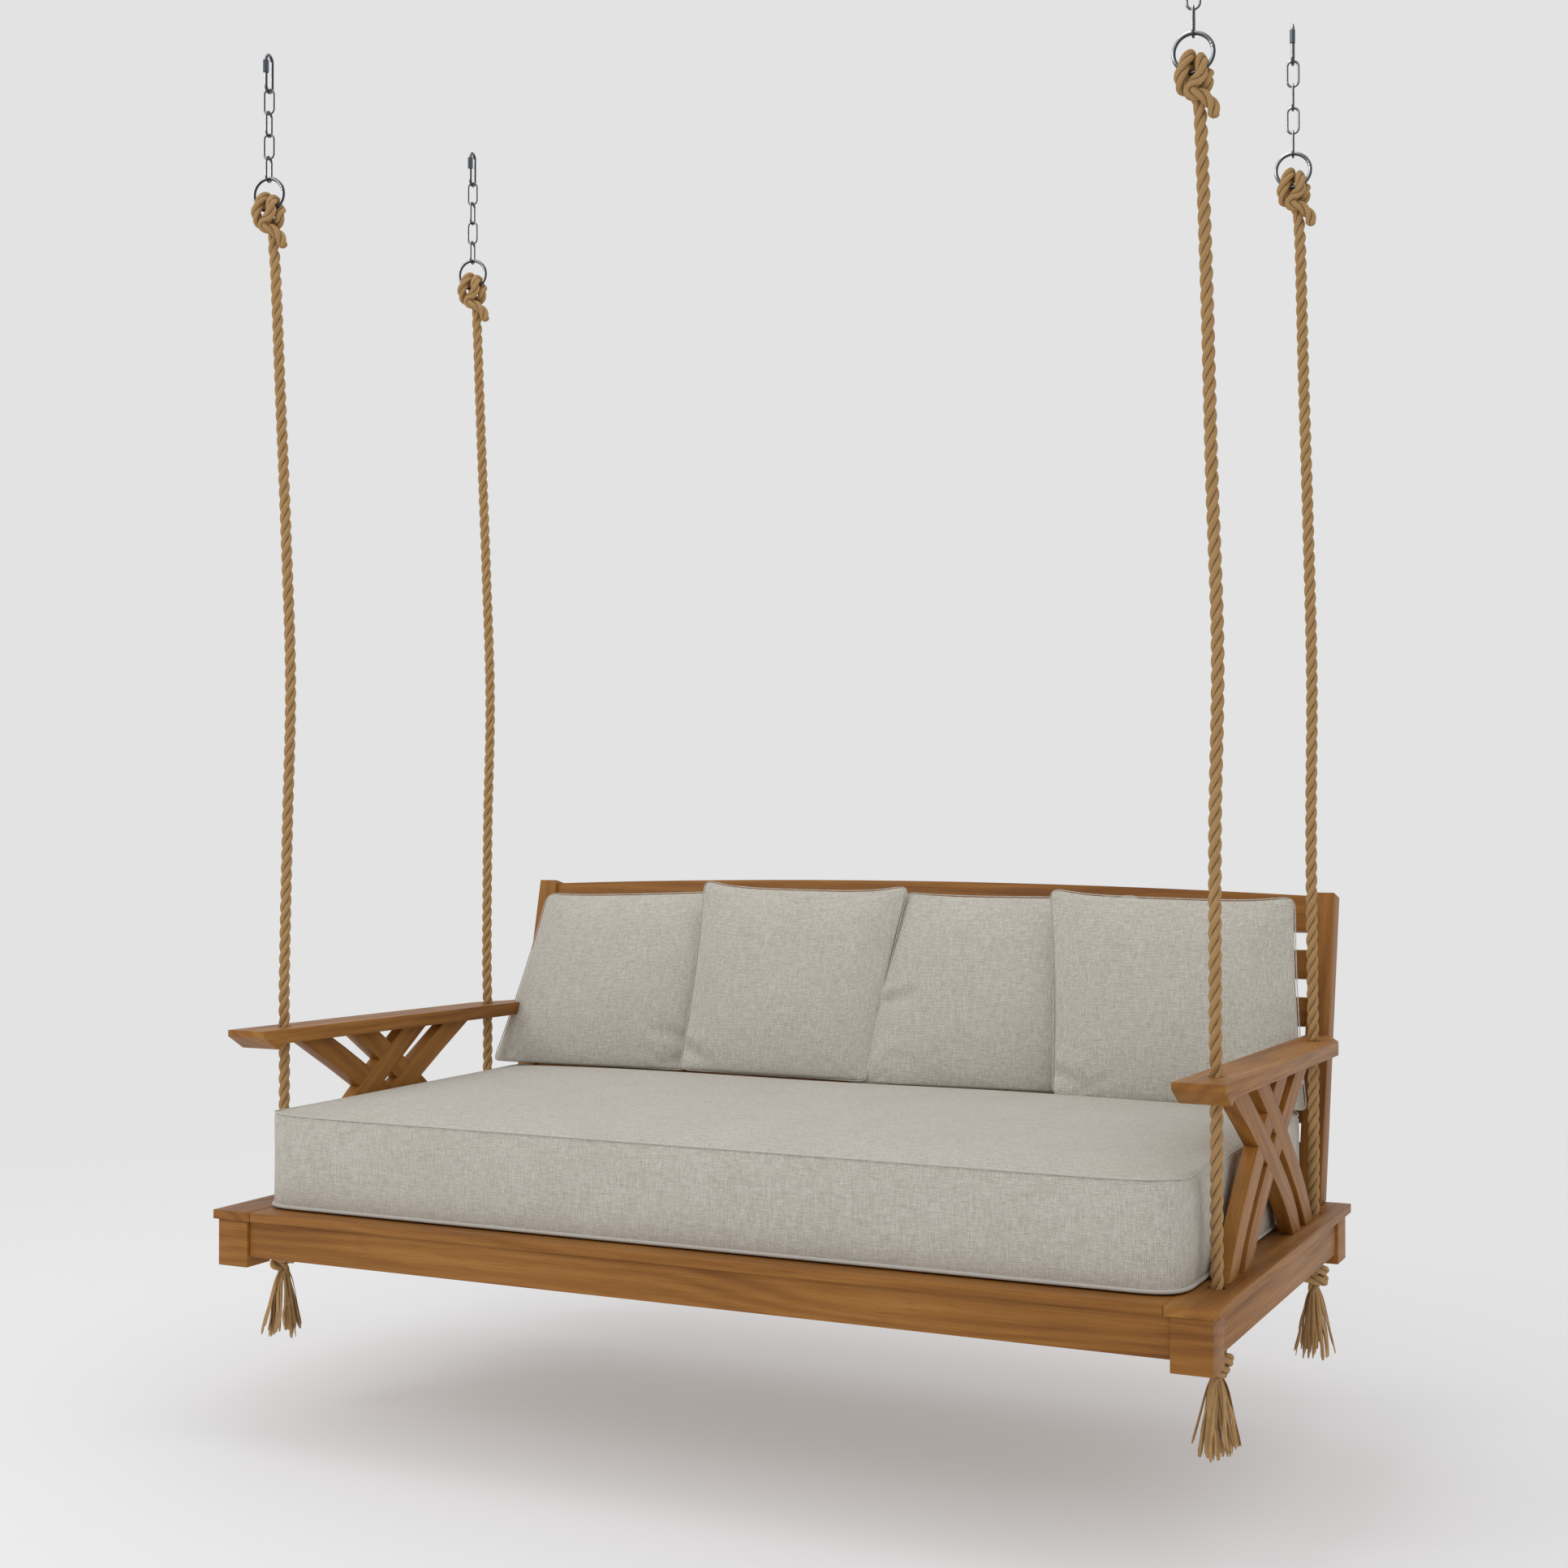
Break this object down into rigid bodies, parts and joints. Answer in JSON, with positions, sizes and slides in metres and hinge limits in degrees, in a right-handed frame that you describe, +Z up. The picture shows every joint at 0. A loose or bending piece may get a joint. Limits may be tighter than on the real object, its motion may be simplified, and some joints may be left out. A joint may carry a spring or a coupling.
{
  "type": "porch swing",
  "caption": "Slatted wooden daybed swing with a box cushion, four pillows and braced arms, hung on four knotted ropes with rings, chains and quick links.",
  "frame": {"origin": "middle of the four points where the quick links bear on their ceiling hooks", "axes": "+Z up, -Y the open front that a sitter faces out of, +X to the right seen from the front"},
  "size_m": [2.1734, 1.2508, 2.7837],
  "materials": {
    "teak": "oiled teak, satin, open grain",
    "linen": "woven off-white linen-look outdoor cloth",
    "rope": "three-strand twisted tan rope",
    "steel": "zinc-plated, bright",
    "nut_steel": "darker plated steel"
  },
  "bodies": {
    "hang_points": {"quick_link_front_left": "steel", "quick_link_front_right": "steel", "quick_link_rear_left": "steel", "quick_link_rear_right": "steel"},
    "seat": {"deck_board_front": "teak", "deck_board_rear": "teak", "deck_board_left": "teak", "deck_board_right": "teak", "apron_front": "teak", "apron_rear": "teak", "side_beam_left": "teak", "side_beam_right": "teak", "corner_block_front_left": "teak", "corner_block_front_right": "teak", "corner_block_rear_left": "teak", "corner_block_rear_right": "teak", "seat_slat_panel": "teak", "back_post_left": "teak", "back_post_right": "teak", "back_top_rail": "teak", "back_slat_1": "teak", "back_slat_2": "teak", "back_slat_3": "teak", "back_slat_4": "teak", "back_slat_5": "teak", "arm_left": "teak", "arm_right": "teak", "arm_brace_left_1": "teak", "arm_brace_left_2": "teak", "arm_brace_left_3": "teak", "arm_brace_left_4": "teak", "arm_brace_right_1": "teak", "arm_brace_right_2": "teak", "arm_brace_right_3": "teak", "arm_brace_right_4": "teak", "seat_cushion": "linen", "pillow_1": "linen", "pillow_2": "linen", "pillow_3": "linen", "pillow_4": "linen", "rope_lower_front_left": "rope", "rope_lower_front_right": "rope", "rope_lower_rear_left": "rope", "rope_lower_rear_right": "rope"},
    "rope_front_left": {"hanging_chain_front_left": "steel", "rope_ring_front_left": "steel", "rope_upper_front_left": "rope"},
    "nut_front_left": {"quick_link_nut_front_left": "nut_steel"},
    "rope_front_right": {"hanging_chain_front_right": "steel", "rope_ring_front_right": "steel", "rope_upper_front_right": "rope"},
    "nut_front_right": {"quick_link_nut_front_right": "nut_steel"},
    "rope_rear_left": {"hanging_chain_rear_left": "steel", "rope_ring_rear_left": "steel", "rope_upper_rear_left": "rope"},
    "nut_rear_left": {"quick_link_nut_rear_left": "nut_steel"},
    "rope_rear_right": {"hanging_chain_rear_right": "steel", "rope_ring_rear_right": "steel", "rope_upper_rear_right": "rope"},
    "nut_rear_right": {"quick_link_nut_rear_right": "nut_steel"}
  },
  "joints": [
    {"name": "swing", "type": "hinge", "parent": "hang_points", "child": "rope_front_right", "pos_m": [1.025, -0.394, -0.0711], "axis": [1, 0, 0], "range_deg": [-15, 15]},
    {"name": "rope_hinge_front_left", "type": "hinge", "parent": "hang_points", "child": "rope_front_left", "pos_m": [-1.025, -0.394, -0.0711], "axis": [1, 0, 0], "range_deg": [-15, 15]},
    {"name": "rope_hinge_rear_left", "type": "hinge", "parent": "hang_points", "child": "rope_rear_left", "pos_m": [-1.025, 0.394, -0.0711], "axis": [1, 0, 0], "range_deg": [-15, 15]},
    {"name": "rope_hinge_rear_right", "type": "hinge", "parent": "hang_points", "child": "rope_rear_right", "pos_m": [1.025, 0.394, -0.0711], "axis": [1, 0, 0], "range_deg": [-15, 15]},
    {"name": "seat_level_hinge", "type": "hinge", "parent": "rope_front_right", "child": "seat", "pos_m": [1.062, -0.394, -2.115], "axis": [1, 0, 0], "range_deg": [-15, 15]},
    {"name": "nut_travel_front_left", "type": "slide", "parent": "hang_points", "child": "nut_front_left", "axis": [0, 0, -1], "range_m": [0, 0.014]},
    {"name": "nut_travel_front_right", "type": "slide", "parent": "hang_points", "child": "nut_front_right", "axis": [0, 0, -1], "range_m": [0, 0.014]},
    {"name": "nut_travel_rear_left", "type": "slide", "parent": "hang_points", "child": "nut_rear_left", "axis": [0, 0, -1], "range_m": [0, 0.014]},
    {"name": "nut_travel_rear_right", "type": "slide", "parent": "hang_points", "child": "nut_rear_right", "axis": [0, 0, -1], "range_m": [0, 0.014]}
  ],
  "couplings": [
    {"joint": "rope_hinge_front_left", "follows": "swing", "ratio": 1},
    {"joint": "rope_hinge_rear_left", "follows": "swing", "ratio": 1},
    {"joint": "rope_hinge_rear_right", "follows": "swing", "ratio": 1},
    {"joint": "seat_level_hinge", "follows": "swing", "ratio": -1}
  ]
}
